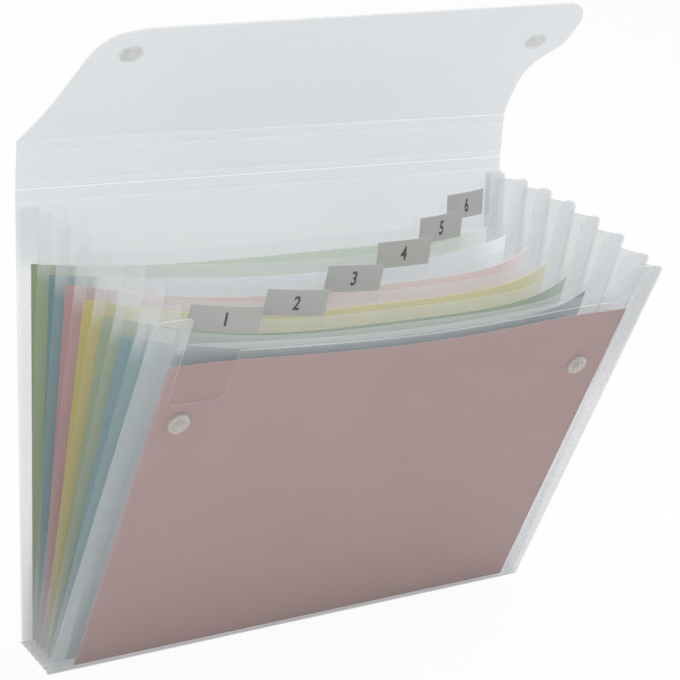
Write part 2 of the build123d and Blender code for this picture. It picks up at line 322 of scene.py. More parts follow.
def film_finish(name, haze, rough=0.42, glow=0.0, mask=None, clear=0.0, tone=FILM):
    """Frosted film. Where a mask is 1, the haze is less by the share that clear gives."""
    made = Finish(name)
    grain = made.noise(GRAIN_SCALE)
    cloud = made.noise(CLOUD_SCALE)
    amount = haze * (1 - CLOUD_SHARE / 2 + CLOUD_SHARE * cloud)
    if mask:
        amount = amount * (1 - clear * mask(made))
    return made.finish(Base_Color=tone, Alpha=amount, Roughness=rough + 0.08 * grain, IOR=PLASTIC_IOR,
                       Emission_Color=tone, Emission_Strength=glow)


def edge_finish(name, haze):
    """The cut edge of the film, which gathers light and shows as a pale line."""
    made = Finish(name)
    grain = made.noise(GRAIN_SCALE)
    return made.finish(Base_Color=FILM_EDGE, Alpha=haze, Roughness=0.3 + 0.2 * grain, IOR=PLASTIC_IOR)


print("film colours:", [round(channel, 3) for channel in FILM[:3]])

# %% [markdown]
# ## Where the film is clearer
# Film is clear where paper lies against it, and along the left margins, where the welds have pressed its
# skin smooth. Up at the ears, with nothing close behind it, it is at its haziest. A mask is a number over
# the surface, 1 where the film is clearest. It is made of soft steps in the piece's own coordinates, so
# no painted map is needed. Each step is written as its place and half its width.

# %% Masks for the film
PAPER_TOP = 211.5 * MM
CLEAR_TOP = 222.0 * MM
FRONT_PAPER = (-146.5 * MM, 150.5 * MM)
SOFT_EDGE = 2.5 * MM
FRONT_LEFT_CLEAR = 0.35
EAR_STEP = (PAPER_TOP, 8.0 * MM)
BACK_LEFT = (-150.0 * MM, 6.0 * MM)
BACK_TOP = (214.0 * MM, 18.0 * MM)
DIVIDER_LEFT = (-143.0 * MM, 5.0 * MM)
DIVIDER_RIGHT = (140.0 * MM, 6.0 * MM)
DIVIDER_EAR_CLEAR = 0.6
RIGHT_EAR_HAZE = 0.42
FILE_MIDDLE = (0.0, 20.0 * MM)
NEAR_BASE = (40.0 * MM, 40.0 * MM)
BASE_HAZE = 0.24
PLEAT_EAR_CLEAR = 0.8
RIGHT_PLEAT_TOP = (165.0 * MM, 35.0 * MM)


def across_and_height(made):
    """How far right and how high a point of the surface lies."""
    place = made.node("TexCoord", output="Object")
    across = made.node("SeparateXYZ", inputs={0: place})
    return across, made.node("SeparateXYZ", inputs={0: place}, output=2)


def fade_out(made, distance, limit, soft):
    """1 below a limit and 0 above it, with a soft step between."""
    ends = {0: distance, 1: limit - soft, 2: limit + soft, 3: 1.0, 4: 0.0}
    return made.node("MapRange", {"interpolation_type": "SMOOTHSTEP"}, ends)


def front_paper_contact(made):
    """1 where the front sheet lies against the cover, less on its left margin, 0 on its right one."""
    plane = PLANES["front_cover"]
    place = made.node("TexCoord", output="Object")
    middle = (FRONT_PAPER[0] + FRONT_PAPER[1]) / 2
    aside = made.node("SeparateXYZ", inputs={0: place}) - middle
    across = made.node("Math", {"operation": "ABSOLUTE"}, {0: aside})
    dot = made.node("VectorMath", {"operation": "DOT_PRODUCT"}, {0: place, 1: plane.up}, output="Value")
    beside = fade_out(made, across, FRONT_PAPER[1] - middle, SOFT_EDGE)
    contact = beside * fade_out(made, dot - plane.foot.dot(plane.up), CLEAR_TOP, SOFT_EDGE)
    return contact + FRONT_LEFT_CLEAR * fade_out(made, aside, FRONT_PAPER[0] - middle, SOFT_EDGE)


def back_margin(made):
    """1 on the left margin of the back cover below the height of the ears, 0 elsewhere."""
    across, height = across_and_height(made)
    return fade_out(made, across, *BACK_LEFT) * fade_out(made, height, *BACK_TOP)


def divider_margin(made):
    """1 on the left margin of a divider and less on its ear; below 0 on the right, which is hazier."""
    across, height = across_and_height(made)
    ear = DIVIDER_EAR_CLEAR + (1 - DIVIDER_EAR_CLEAR) * fade_out(made, height, *EAR_STEP)
    left = fade_out(made, across, *DIVIDER_LEFT) * ear
    return left - RIGHT_EAR_HAZE * (1 - fade_out(made, across, *DIVIDER_RIGHT))


def low_on_pleats(made):
    """1 where papers lie close behind the left pleats and low down on the right, 0 at the right ears."""
    across, height = across_and_height(made)
    leftward = fade_out(made, across, *FILE_MIDDLE)
    ear = PLEAT_EAR_CLEAR + (1 - PLEAT_EAR_CLEAR) * fade_out(made, height, *EAR_STEP)
    left = leftward * ear * (1 - BASE_HAZE * fade_out(made, height, *NEAR_BASE))
    return left + (1 - leftward) * fade_out(made, height, *RIGHT_PLEAT_TOP)


COVER_FILM = film_finish("cover_film", 0.32, mask=back_margin, clear=0.5, tone=COOL_FILM)
FRONT_FILM = film_finish("front_cover_film", 0.36, mask=front_paper_contact, clear=0.867)
DIVIDER_FILM = film_finish("divider_film", 0.22, glow=0.16, mask=divider_margin, clear=0.88)
PLEAT_FILM = film_finish("pleat_film", 0.42, rough=0.36, glow=0.08, mask=low_on_pleats, clear=0.95)
BASE_FILM = film_finish("base_film", 0.5)
SLEEVE_FILM = film_finish("sleeve_film", 0.05, rough=0.22)
EDGE_FILM = edge_finish("film_edge", 0.16)
FRONT_EDGE = edge_finish("front_film_edge", 0.28)
THIN_EDGE_FILM = edge_finish("thin_film_edge", 0.1)
FRONT_WELD = edge_finish("front_weld_mark", 0.22)
REAR_WELD = edge_finish("rear_weld_mark", 0.05)
print("film finishes:", [film.name for film in (COVER_FILM, FRONT_FILM, DIVIDER_FILM, PLEAT_FILM)])

# %% [markdown]
# ## Paper, card, ink and stud plastic
# Copier paper is matt, with a faint cloud of fibres. One function makes each colour, with a slightly
# darker tint mixed in by two noises. The free top of a sheet stands between hazy layers of film with
# light behind it, so there its colour is painted paler, towards the film's, as painted haze, and it is
# given a faint painted glow; its far right end is painted paler still. The labels are grey card with a
# faint painted glow that lightens them, the numbers dark ink, and the studs a clear plastic with a faint
# yellow cast.

# %% Paper and plastic finishes
# For each paper: its own colour, the strength of its painted glow, and how far its free top is painted paler, as
# painted haze.
PAPER_LOOKS = {
    "teal_paper": ((144, 173, 177), 0.02, 0.1),
    "pale_green_paper": ((172, 186, 158), 0.14, 0.26),
    "green_paper": ((150, 168, 126), 0.3, 0.54),
    "yellow_paper": ((206, 194, 122), 0.24, 0.34),
    "pink_paper": ((194, 154, 156), 0.28, 0.5),
    "rose_paper": ((188, 162, 160), 0.0, 0.0),
    "blue_paper": ((118, 152, 158), 0.34, 0.74),
}
# Where a sheet's free top starts, which is painted paler and given a painted glow, and where its far right end starts,
# which is painted paler still: painted haze and painted light.
FREE_TOP = (186.0 * MM, 16.0 * MM)
FREE_LEFT = (-138.0 * MM, 8.0 * MM)
END_TOP = (170.0 * MM, 20.0 * MM)
END_RIGHT = (116.0 * MM, 20.0 * MM)
END_PAINTED_HAZE = 0.26
FIBRE_SCALE = 2600.0
FIBRE_SHARE = 0.15
PAPER_CLOUD_SCALE = 24.0
DEEP_TINT = 0.95
NO_LIGHT = (0, 0, 0, 1)


def past_both(made, right, top):
    """1 to the right of one step and above another, 0 elsewhere."""
    across, height = across_and_height(made)
    return (1 - fade_out(made, across, *right)) * (1 - fade_out(made, height, *top))


def paper_finish(name, colour, glow=0.0, haze=0.0):
    """Matt paper. With a haze, its free top is painted paler as painted haze and glows alone, as painted light; its far
    right end is painted paler too.
    """
    made = Finish(name)
    fibre = made.noise(FIBRE_SCALE, 4.0)
    cloud = made.noise(PAPER_CLOUD_SCALE)
    deep = paint(*(channel * DEEP_TINT for channel in colour))
    tint = made.tint(FIBRE_SHARE * fibre + (1 - FIBRE_SHARE) * cloud, paint(*colour), deep)
    painted_light = paint(*colour)
    # Painted haze and light: the free top and the far right end are painted paler, towards the film's colour, and the
    # free top alone is given a painted glow.
    if haze:
        free = past_both(made, FREE_LEFT, FREE_TOP)
        tint = made.tint(haze * free + END_PAINTED_HAZE * past_both(made, END_RIGHT, END_TOP), tint, FILM)
        painted_light = made.tint(free, NO_LIGHT, tint)
    return made.finish(Base_Color=tint, Roughness=0.78 + 0.12 * fibre, Emission_Color=painted_light,
                       Emission_Strength=glow)


STUD_CLOUD_SCALE = 260.0
STUD_GRAIN_SCALE = 700.0


def stud_finish():
    """Clear plastic with a faint yellow cast, a little cloudy inside."""
    made = Finish("stud_plastic")
    cloud = made.noise(STUD_CLOUD_SCALE)
    tint = made.tint(cloud, paint(246, 244, 236), paint(228, 227, 218))
    bump = made.bump(made.noise(STUD_GRAIN_SCALE), 0.1, 0.1 * MM)
    return made.finish(Base_Color=tint, Alpha=0.24 + 0.14 * cloud, Roughness=0.16 + 0.12 * cloud,
                       Normal=bump, Coat_Weight=0.4, IOR=PLASTIC_IOR)


PAPERS = {paper: paper_finish(paper, *look) for paper, look in PAPER_LOOKS.items()}
# The card glows a little over its whole face: painted light that lightens it.
LABEL_CARD = paper_finish("label_card", (166, 166, 163), 0.3)
INK = paper_finish("number_ink", (58, 58, 60))
STUD_PLASTIC = stud_finish()
print("papers:", sorted(PAPERS))

# %% [markdown]
# ## Thin sheets from a grid
# Every sheet here is a grid of points on a panel, pushed forward by some depth, and then thickened.
# Solidify gives the wall and lets the rim take a second material. The result is turned into a plain
# mesh, with its place in its points, so that it can ride on its body and flatten when the file shuts.

# %% Sheet helpers
CLOSEST = 0.02 * MM
SHARP_FROM = math.radians(35)


def steps(low, high, pitch, extra=()):
    """Evenly spaced lines from low to high, no further apart than pitch, and some extra ones."""
    count = max(2, math.ceil((high - low) / pitch) + 1)
    lines = list(np.linspace(low, high, count)) + [line for line in extra if low < line < high]
    lines.sort()
    kept = [lines[0]]
    for line in lines[1:]:
        if line - kept[-1] > CLOSEST:
            kept.append(line)
    return kept


def settle(obj):
    """Turns an object with modifiers into a plain mesh, smooth but for its sharp edges."""
    depsgraph = bpy.context.evaluated_depsgraph_get()
    mesh = bpy.data.meshes.new_from_object(obj.evaluated_get(depsgraph))
    obj.modifiers.clear()
    obj.data = mesh
    mesh.shade_smooth()
    mesh.set_sharp_from_angle(angle=SHARP_FROM)
    return obj


def add_mesh(name, points, faces, materials):
    """A mesh object in the scene, at the origin."""
    mesh = bpy.data.meshes.new(name)
    mesh.from_pydata([tuple(point) for point in points], [], faces)
    for material in materials:
        mesh.materials.append(material)
    obj = bpy.data.objects.new(name, mesh)
    bpy.context.scene.collection.objects.link(obj)
    return obj


def grid(columns, rows, place):
    """Points of a grid, each where place puts it, and the grid's faces."""
    points = [place(x, up) for up in rows for x in columns]
    wide = len(columns)
    faces = []
    for row in range(len(rows) - 1):
        for column in range(wide - 1):
            first = row * wide + column
            faces.append((first, first + 1, first + wide + 1, first + wide))
    return points, faces


def sheet(name, points, faces, thick, materials):
    """A thin closed sheet round a surface; its rim takes the second material where there is one."""
    obj = add_mesh(name, points, faces, materials)
    wall = obj.modifiers.new("wall", "SOLIDIFY")
    wall.thickness = thick
    wall.offset = 0.0
    wall.use_even_offset = True
    wall.material_offset_rim = len(materials) - 1
    return settle(obj)


def put(obj, plane, slot, *nodes):
    """Rides a finished piece on its panel's body, names its slot, and hides the solids it stands for."""
    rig.ride(obj, plane.body)
    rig.slot(obj, slot)
    if nodes:
        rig.replaces(obj, *nodes)
    return obj


FLAT_KEEP = 0.05


def flatten(obj, plane, joint="front_fan", keep=FLAT_KEEP):
    """Lets a bowed piece flatten against its panel's plane as the file shuts."""
    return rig.squash(obj, joint, axis=plane.front, anchor=plane.foot, keep=keep)


print("sheet helpers ready")

# %% [markdown]
# ## The panels of the fan
# The film is floppy, so each panel bows forward on its way up and stays straight along its foot. Across
# the width the bow falls off to nothing at the sides. On the front cover it is slight, and ends short
# of the studs. The front cover also reaches a little lower than the others, down to the base.
# Every panel has an ear at each side of a dipped top edge, and the front cover a thumb notch as well.
# That edge is one line of points from left to right. The grid takes its columns from the line, and
# its upper rows are stretched up or down to end on it. A Boolean cut would give the same edge, but it
# leaves long thin faces that shade badly on a bowed sheet.

# %% Panel film
FILM_PITCH = 6.0 * MM
HALF_WIDTH = 162.5 * MM
FRONT_HEIGHT = 243.0 * MM
FRONT_LOW = -1.6 * MM
CORNER = 6.0 * MM
COVER_WALL = 0.8 * MM
DIVIDER_WALL = 0.5 * MM
EAR_WIDTH = 21.5 * MM
EAR_ROUND = 2.5 * MM
DIP_TOP = 219.0 * MM
NOTCH_RIGHT = -108.5 * MM
NOTCH_LOW = 187.0 * MM
NOTCH_CORNER = 6.0 * MM
SLANT = 0.3 * MM
ARC_POINTS = 6
STRETCH_FROM = 180.0 * MM
BOW_HEIGHT = 236.0 * MM
BOWS = {"back_cover": 0, "divider_6": 37, "divider_5": 48, "divider_4": 45.5, "divider_3": 42,
        "divider_2": 37, "divider_1": 28, "front_panel": 12, "front_cover": 6}
BOW_SHAPES = {"divider_6": (158.0 * MM, 4.0, 1.0), "divider_5": (160.0 * MM, 2.2, 1.0),
              "front_panel": (150.0 * MM, 2.0, 1.2), "front_cover": (122.0 * MM, 2.0, 1.5)}
DIVIDER_SHAPE = (153.0 * MM, 3.6, 1.1)


def bow(name, x, up):
    """How far a panel stands forward of its flat plane."""
    wide, fall, ease = BOW_SHAPES.get(name, DIVIDER_SHAPE)
    across = max(0.0, 1 - abs(x / wide) ** fall) ** ease
    rise = math.sin(math.pi / 2 * min(1.0, max(up, 0.0) / BOW_HEIGHT))
    return BOWS[name] * MM * across * rise


def arc(x, up, radius, first, last):
    """Points of an arc about a middle, from one angle to another in degrees."""
    turns = np.radians(np.linspace(first, last, ARC_POINTS))
    return [(x + radius * math.cos(turn), up + radius * math.sin(turn)) for turn in turns]


def ear_line(low):
    """The top edge over a left ear and down its inner side to a height."""
    inner = EAR_WIDTH - HALF_WIDTH
    line = arc(CORNER - HALF_WIDTH, FRONT_HEIGHT - CORNER, CORNER, 180, 90)
    line += arc(inner - EAR_ROUND, FRONT_HEIGHT - EAR_ROUND, EAR_ROUND, 90, 0)
    return line + arc(inner + SLANT + EAR_ROUND, low + EAR_ROUND, EAR_ROUND, 180, 270)


RIGHT_EAR = [(-x, up) for x, up in reversed(ear_line(DIP_TOP))]
PLAIN_LINE = ear_line(DIP_TOP) + RIGHT_EAR
NOTCH_SIDE = arc(NOTCH_RIGHT - NOTCH_CORNER, NOTCH_LOW + NOTCH_CORNER, NOTCH_CORNER, 270, 360)
NOTCH_LINE = ear_line(NOTCH_LOW) + NOTCH_SIDE + [(NOTCH_RIGHT + SLANT, DIP_TOP)] + RIGHT_EAR


def panel_film(name, line, slot, materials, wall):
    """One bowed panel of the fan that ends at the top on a line."""
    plane = PLANES[name]
    line_x, line_up = zip(*line)

    def place(x, up):
        top = float(np.interp(x, line_x, line_up))
        share = max(0.0, up - STRETCH_FROM) / (FRONT_HEIGHT - STRETCH_FROM)
        up = min(up, STRETCH_FROM) + share * (top - STRETCH_FROM)
        return plane.at(x, up, bow(name, x, up))

    columns = steps(-HALF_WIDTH, HALF_WIDTH, FILM_PITCH, line_x)
    low = FRONT_LOW if name == "front_cover" else 0
    points, faces = grid(columns, steps(low, FRONT_HEIGHT, FILM_PITCH, (STRETCH_FROM,)), place)
    obj = sheet(f"{name}_film", points, faces, wall, materials)
    return flatten(put(obj, plane, slot, name), plane)


divider_layers = [DIVIDER_FILM, THIN_EDGE_FILM]
for panel_name in DIVIDERS + ["front_panel"]:
    made_panel = panel_film(panel_name, PLAIN_LINE, "divider_film", divider_layers, DIVIDER_WALL)
    print(made_panel.name, len(made_panel.data.polygons), "faces")
front = panel_film("front_cover", NOTCH_LINE, "cover_film", [FRONT_FILM, FRONT_EDGE], COVER_WALL)
print(front.name, len(front.data.polygons), "faces, with the thumb notch")

# %% [markdown]
# ## The back cover, the strip and the flap
# These three are one sheet on the real file, with a pair of scored lines at each fold. A score is a
# shallow groove, so rows of the grid are set close together there and pushed back a little. At a fold
# the sheets end just short of each other, cut at a slant, which leaves them room to fold.
# The flap is springy and a little twisted. Between its fold and its studs it bulges back, most of all at
# the right, and past the studs its left end curls forward. A bend modifier could curl it, but a formula
# keeps it still at its fold and at its studs. It flattens as it is folded down.

# %% Back cover, strip and flap
FOLD_AIR = 0.36 * MM
REAR_AIR = 0.1 * MM
BACK_FOLD = 249.5 * MM
SCORE_DEEP = 0.3 * MM
SCORE_WIDE = 0.7 * MM
STRIP_LENGTH = 26.0 * MM
FLAP_LENGTH = 117.0 * MM
FLAP_STUD = 81.84 * MM
STUD_X = 130.5 * MM
FLAP_SHOULDER = 14.0 * MM
FLAP_TAPER = 14.0 * MM
FLAP_CORNER = 17.0 * MM
FLAP_EASE = 6.0 * MM
FLAP_BULGE = -3.25 * MM
FLAP_TIP = 2.7 * MM
FLAP_TWIST = -5.0 * MM
FLAP_KEEP = 0.1
BULGE_FALL = 1.5
BULGE_SCALE = 5.38
TIP_RISE = 1.8
SCORES = {"back_cover": (243.0 * MM,), "top_strip": (4.5 * MM, 21.0 * MM), "closing_flap": (5.5 * MM,)}


def score(name, up):
    """Depth of the scored lines beside the folds, as a shallow groove."""
    lines = SCORES[name]
    return -SCORE_DEEP * sum(math.exp(-((up - line) / SCORE_WIDE) ** 2) for line in lines)


def score_rows(name):
    """Rows set close together across each scored line."""
    offsets = (-2, -1.3, -0.8, -0.4, 0, 0.4, 0.8, 1.3, 2)
    return [line + offset * SCORE_WIDE for line in SCORES[name] for offset in offsets]


def flap_half(up):
    """Half the width of the flap: full at the fold, tapered to its end, with large round corners."""
    taper = FLAP_TAPER * max(0.0, up - FLAP_SHOULDER) / (FLAP_LENGTH - FLAP_SHOULDER)
    if abs(up - FLAP_SHOULDER) < FLAP_EASE:
        rise = (up - FLAP_SHOULDER + FLAP_EASE) ** 2 / (4 * FLAP_EASE)
        taper = FLAP_TAPER * rise / (FLAP_LENGTH - FLAP_SHOULDER)
    over = max(0.0, up - (FLAP_LENGTH - FLAP_CORNER))
    return HALF_WIDTH - taper - FLAP_CORNER + math.sqrt(max(0.0, FLAP_CORNER ** 2 - over ** 2))


def flap_curl(x, up):
    """How far the flap stands forward of its flat plane: none at its fold, nor level with its studs."""
    twist = FLAP_TWIST * x / STUD_X
    if up < FLAP_STUD:
        share = up / FLAP_STUD
        return (FLAP_BULGE + twist) * BULGE_SCALE * share * (1 - share) ** BULGE_FALL
    past = (up - FLAP_STUD) / (FLAP_LENGTH - FLAP_STUD)
    return (FLAP_TIP + twist) * past ** TIP_RISE


def bevel_ends(obj, plane, low, high):
    """Draws the rear edge of a sheet's folded ends out to the folds, and gives the ends plain film."""

    def end_at(point):
        up = (point - plane.foot).dot(plane.up)
        if low and up < low + REAR_AIR:
            return -1
        return 1 if high and up > high - REAR_AIR else 0

    for polygon in obj.data.polygons:
        if end_at(polygon.center):
            polygon.material_index = 0
    for vertex in obj.data.vertices:
        if (vertex.co - plane.foot).dot(plane.front) < -COVER_WALL / 4:
            vertex.co += plane.up * (end_at(vertex.co) * (FOLD_AIR - REAR_AIR))


def cover_sheet(name, low, high, half, depth, folds, rows=()):
    """A sheet of cover film from one height to another, with its scored lines and its folded ends."""
    plane = PLANES[name]

    def place(x, up):
        x = x * half(up) / HALF_WIDTH
        return plane.at(x, up, depth(x, up) + score(name, up))

    columns = steps(-HALF_WIDTH, HALF_WIDTH, FILM_PITCH)
    points, faces = grid(columns, steps(low, high, FILM_PITCH, score_rows(name) + list(rows)), place)
    obj = sheet(f"{name}_film", points, faces, COVER_WALL, [COVER_FILM, EDGE_FILM])
    bevel_ends(obj, plane, low if folds[0] else 0, high if folds[1] else 0)
    return put(obj, plane, "cover_film", name)


def full_half(up):
    """Half the width of a sheet with straight sides."""
    return HALF_WIDTH


def no_depth(x, up):
    """A flat sheet stands nowhere off its plane."""
    return 0.0


strip_end = STRIP_LENGTH - FOLD_AIR
back = cover_sheet("back_cover", 0, BACK_FOLD - FOLD_AIR, full_half, no_depth, (False, True))
strip = cover_sheet("top_strip", FOLD_AIR, strip_end, full_half, no_depth, (True, True))
corner_turns = [math.radians(angle) for angle in range(0, 90, 6)]
corner_rows = [FLAP_LENGTH - FLAP_CORNER * (1 - math.sin(turn)) for turn in corner_turns]
flap = cover_sheet("closing_flap", FOLD_AIR, FLAP_LENGTH, flap_half, flap_curl, (True, False), corner_rows)
flatten(flap, PLANES["closing_flap"], "flap_fold", FLAP_KEEP)
print(back.name, strip.name, flap.name, len(flap.data.polygons), "faces on the flap")

# %% [markdown]
# ## The coloured sheets
# A loose sheet leans on the divider behind it and takes its bow, pushed over to the left. The front
# sheet lies against the front cover instead, behind the rings of its studs. Cloth could be dropped
# against the panels, but stiff paper keeps to what it leans on, so the panel's own bow does it. Each
# is a grid on its panel, set off it by half the film, a hair of air and half the paper.

# %% Papers
PAPER_WALL = 0.3 * MM
PAPER_AIR = 0.15 * MM
PAPER_LOW = 0.05 * MM
PAPER_SPAN = (-157.0 * MM, 137.5 * MM)
RING_THICK = 0.8 * MM
PAPER_PITCH = 7.0 * MM
PAPER_OF = {
    "sheet_1": "teal_paper",
    "sheet_2": "pale_green_paper",
    "sheet_3": "yellow_paper",
    "sheet_4": "pink_paper",
    "sheet_5": "blue_paper",
    "sheet_6": "green_paper",
    "sheet_front": "rose_paper",
}
SHARED_SLOTS = {"sheet_front": "pink_paper", "sheet_2": "green_paper"}


def paper_sheet(name):
    """One loose sheet, bowed with the panel that it leans on."""
    carrier = "front_cover" if name == "sheet_front" else name.replace("sheet", "divider")
    plane = PLANES[carrier]
    lift = DIVIDER_WALL / 2 + PAPER_AIR + PAPER_WALL / 2
    span = PAPER_SPAN
    low = PAPER_LOW
    if name == "sheet_front":
        low = FRONT_LOW
        lift = -COVER_WALL / 2 - RING_THICK - PAPER_AIR - PAPER_WALL / 2
        span = FRONT_PAPER

    def place(x, up):
        return plane.at(x, up, bow(carrier, x, up) + lift)

    points, faces = grid(steps(*span, PAPER_PITCH), steps(low, PAPER_TOP, PAPER_PITCH), place)
    obj = sheet(f"{name}_paper", points, faces, PAPER_WALL, [PAPERS[PAPER_OF[name]]])
    slot = SHARED_SLOTS.get(name, PAPER_OF[name])
    return flatten(put(obj, plane, slot, name), plane)


for sheet_name in PAPER_OF:
    print(paper_sheet(sheet_name).name, "in", PAPER_OF[sheet_name])

# %% [markdown]
# ## The numbered tabs
# Each divider carries a grey card in a clear sleeve that stands up out of the dip, one step further to
# the right from pocket to pocket, and the first three sit a little askew. The sleeve's film stands off
# the card and comes in all round, where it is welded. The number is Blender's own lettering, narrowed,
# made a mesh, and laid on the bowed card.

# %% Labels, sleeves and numbers
TAB_FIRST_X = -111.25 * MM
TAB_STEP = 44.5 * MM
TAB_TILT = (2.0, -3.5, -3.5, 0.0, 0.0, 0.0)
LABEL_SIZE = (35.5 * MM, 15.0 * MM)
LABEL_MIDDLE = 228.5 * MM
LABEL_LIFT = 0.75 * MM
SLEEVE_RIM = 1.6 * MM
SLEEVE_TAIL = 5.5 * MM
SLEEVE_OVERLAP = 5.0 * MM
SLEEVE_LIFT = 1.15 * MM
SLEEVE_SLOPE = 1.2 * MM
SLEEVE_WELD = 0.42 * MM
SLEEVE_WALL = 0.2 * MM
TAB_PITCH = 4.0 * MM
NUMBER_SIZE = 11.0 * MM
NUMBER_NARROW = 0.74
NUMBER_BOLD = 0.28 * MM
NUMBER_LIFT = 0.93 * MM
NUMBER_THICK = 0.02 * MM


def on_tab(number, name, middle, lift):
    """Places a point on the bowed front of a divider, some way off it, tilted as its tab is."""
    plane = PLANES[name]
    tilt = math.radians(TAB_TILT[number - 1])

    def place(x, up):
        aside = x - middle
        above = up - LABEL_MIDDLE
        across = middle + aside * math.cos(tilt) - above * math.sin(tilt)
        height = LABEL_MIDDLE + aside * math.sin(tilt) + above * math.cos(tilt)
        return plane.at(across, height, bow(name, across, height) + lift(x, up))

    return place


def tab_label(number, name, middle):
    """The grey card of one tab."""
    wide, high = LABEL_SIZE
    columns = steps(middle - wide / 2, middle + wide / 2, TAB_PITCH)
    rows = steps(LABEL_MIDDLE - high / 2, LABEL_MIDDLE + high / 2, TAB_PITCH)
    points, faces = grid(columns, rows, on_tab(number, name, middle, lambda x, up: LABEL_LIFT))
    obj = sheet(f"tab_label_{number}_card", points, faces, PAPER_WALL, [LABEL_CARD])
    return flatten(put(obj, PLANES[name], "label_card", f"tab_label_{number}"), PLANES[name])


def tab_sleeve(number, name, middle):
    """The clear sleeve of one tab: a shallow pillow, welded down round its edge."""
    wide, high = LABEL_SIZE
    left = middle - wide / 2 - SLEEVE_TAIL
    right = middle + wide / 2 + SLEEVE_RIM
    low = DIP_TOP - SLEEVE_OVERLAP
    top = LABEL_MIDDLE + high / 2 + SLEEVE_RIM

    def lift(x, up):
        inside = min(x - left, right - x, up - low, top - up)
        share = min(1.0, max(0.0, inside / SLEEVE_SLOPE))
        return SLEEVE_WELD + (SLEEVE_LIFT - SLEEVE_WELD) * share * share * (3 - 2 * share)

    slopes = [0.3 * SLEEVE_SLOPE, 0.6 * SLEEVE_SLOPE, SLEEVE_SLOPE]
    columns = steps(left, right, TAB_PITCH, [left + s for s in slopes] + [right - s for s in slopes])
    rows = steps(low, top, TAB_PITCH, [low + s for s in slopes] + [top - s for s in slopes])
    points, faces = grid(columns, rows, on_tab(number, name, middle, lift))
    obj = sheet(f"tab_sleeve_{number}_film", points, faces, SLEEVE_WALL, [SLEEVE_FILM, THIN_EDGE_FILM])
    return flatten(put(obj, PLANES[name], "sleeve_film", f"tab_sleeve_{number}"), PLANES[name])


def tab_number(number, name, middle):
    """The number printed on one card: narrow lettering laid on the bowed card as a thin mesh."""
    text = bpy.data.curves.new("number", "FONT")
    text.body = str(number)
    text.size = NUMBER_SIZE
    text.align_x = "CENTER"
    text.align_y = "CENTER"
    text.extrude = NUMBER_THICK
    text.offset = NUMBER_BOLD
    holder = bpy.data.objects.new("number", text)
    bpy.context.scene.collection.objects.link(holder)
    depsgraph = bpy.context.evaluated_depsgraph_get()
    mesh = bpy.data.meshes.new_from_object(holder.evaluated_get(depsgraph))
    bpy.data.objects.remove(holder)
    corners = [vertex.co.copy() for vertex in mesh.vertices]
    centre = (min(c.y for c in corners) + max(c.y for c in corners)) / 2
    plane = PLANES[name]
    place = on_tab(number, name, middle, lambda x, up: NUMBER_LIFT)
    points = []
    for corner in corners:
        x = middle + corner.x * NUMBER_NARROW
        points.append(place(x, LABEL_MIDDLE + corner.y - centre) + plane.front * corner.z)
    faces = [tuple(polygon.vertices) for polygon in mesh.polygons]
    obj = add_mesh(f"tab_number_{number}", points, faces, [INK])
    return flatten(put(obj, plane, "label_card"), plane)


for tab in range(1, 7):
    tab_divider = f"divider_{tab}"
    tab_x = TAB_FIRST_X + (tab - 1) * TAB_STEP
    tab_label(tab, tab_divider, tab_x)
    tab_sleeve(tab, tab_divider, tab_x)
    print(tab_number(tab, tab_divider, tab_x).name, "at x", round(tab_x / MM, 1), "mm")

# %% [markdown]
# ## The side pleats
# Between two panels, each side has a pleat: a leg of thin film from each panel's edge, meeting in a
# fold that points into the file. A leg is a ruled sheet from the panel's edge to that fold. One sheet
# for both legs would have to follow two panels at once. Two sheets ride on their own panels and flatten
# against them, so the pleat shuts as the fan shuts.

# %% Pleat legs
PLEAT_DEPTH = 12.5 * MM
FRONT_PLEAT_DEPTH = 9.0 * MM
PLEAT_WALL = 0.3 * MM
PLEAT_LOW = 0.4 * MM
PLEAT_TOP = 240.5 * MM
PLEAT_AIR = 0.3 * MM
PLEAT_BELLY = 0.03
PLEAT_PITCH = 8.0 * MM
LEG_SHARE = 0.46


def wall_of(name):
    """Half the wall of a panel's film."""
    return (COVER_WALL if name.endswith("cover") else DIVIDER_WALL) / 2


def shut_gap(rear, front):
    """How far apart two panels stand once the fan is shut."""
    lines = [PLANES[name].foot - PLANES[name].up * SWING_BELOW for name in (rear, front)]
    return lines[0].y - lines[1].y


def pleat_leg(side, number, half, rear, front):
    """One leg of a pleat, on the panel behind it (half 0) or in front of it (half 1)."""
    name = (rear, front)[half]
    plane = PLANES[name]
    turn = (1, -1)[half]
    edge = (-HALF_WIDTH, HALF_WIDTH)[side == "right"]
    depth = FRONT_PLEAT_DEPTH if front == "front_cover" else PLEAT_DEPTH
    inward = -depth if side == "right" else depth

    def place(share, up):
        start = plane.at(edge, up, turn * (wall_of(name) + PLEAT_AIR))
        fold = (PLANES[rear].at(edge + inward, up) + PLANES[front].at(edge + inward, up)) / 2
        belly = plane.front * (turn * PLEAT_BELLY * (fold - start).length * math.sin(math.pi * share))
        return start.lerp(fold, share) - belly

    points, faces = grid(steps(0, 1, 0.2), steps(PLEAT_LOW, PLEAT_TOP, PLEAT_PITCH), place)
    node = f"{side}_pleat_{number}"
    ending = ("rear_leg", "front_leg")[half]
    obj = sheet(f"{node}_{ending}", points, faces, PLEAT_WALL, [PLEAT_FILM, THIN_EDGE_FILM])
    put(obj, plane, "pleat_film", node)
    top = (place(1.0, PLEAT_TOP) - plane.foot).dot(plane.front)
    return flatten(obj, plane, keep=LEG_SHARE * shut_gap(rear, front) / abs(top))


for pleat, (rear_name, front_name) in enumerate(zip(ROW, ROW[1:]), start=1):
    for pleat_side in ("left", "right"):
        legs = [pleat_leg(pleat_side, pleat, half, rear_name, front_name) for half in (0, 1)]
    leg_faces = len(legs[0].data.polygons)
    print("pleat", pleat, "between", rear_name, "and", front_name, "with legs of", leg_faces, "faces")

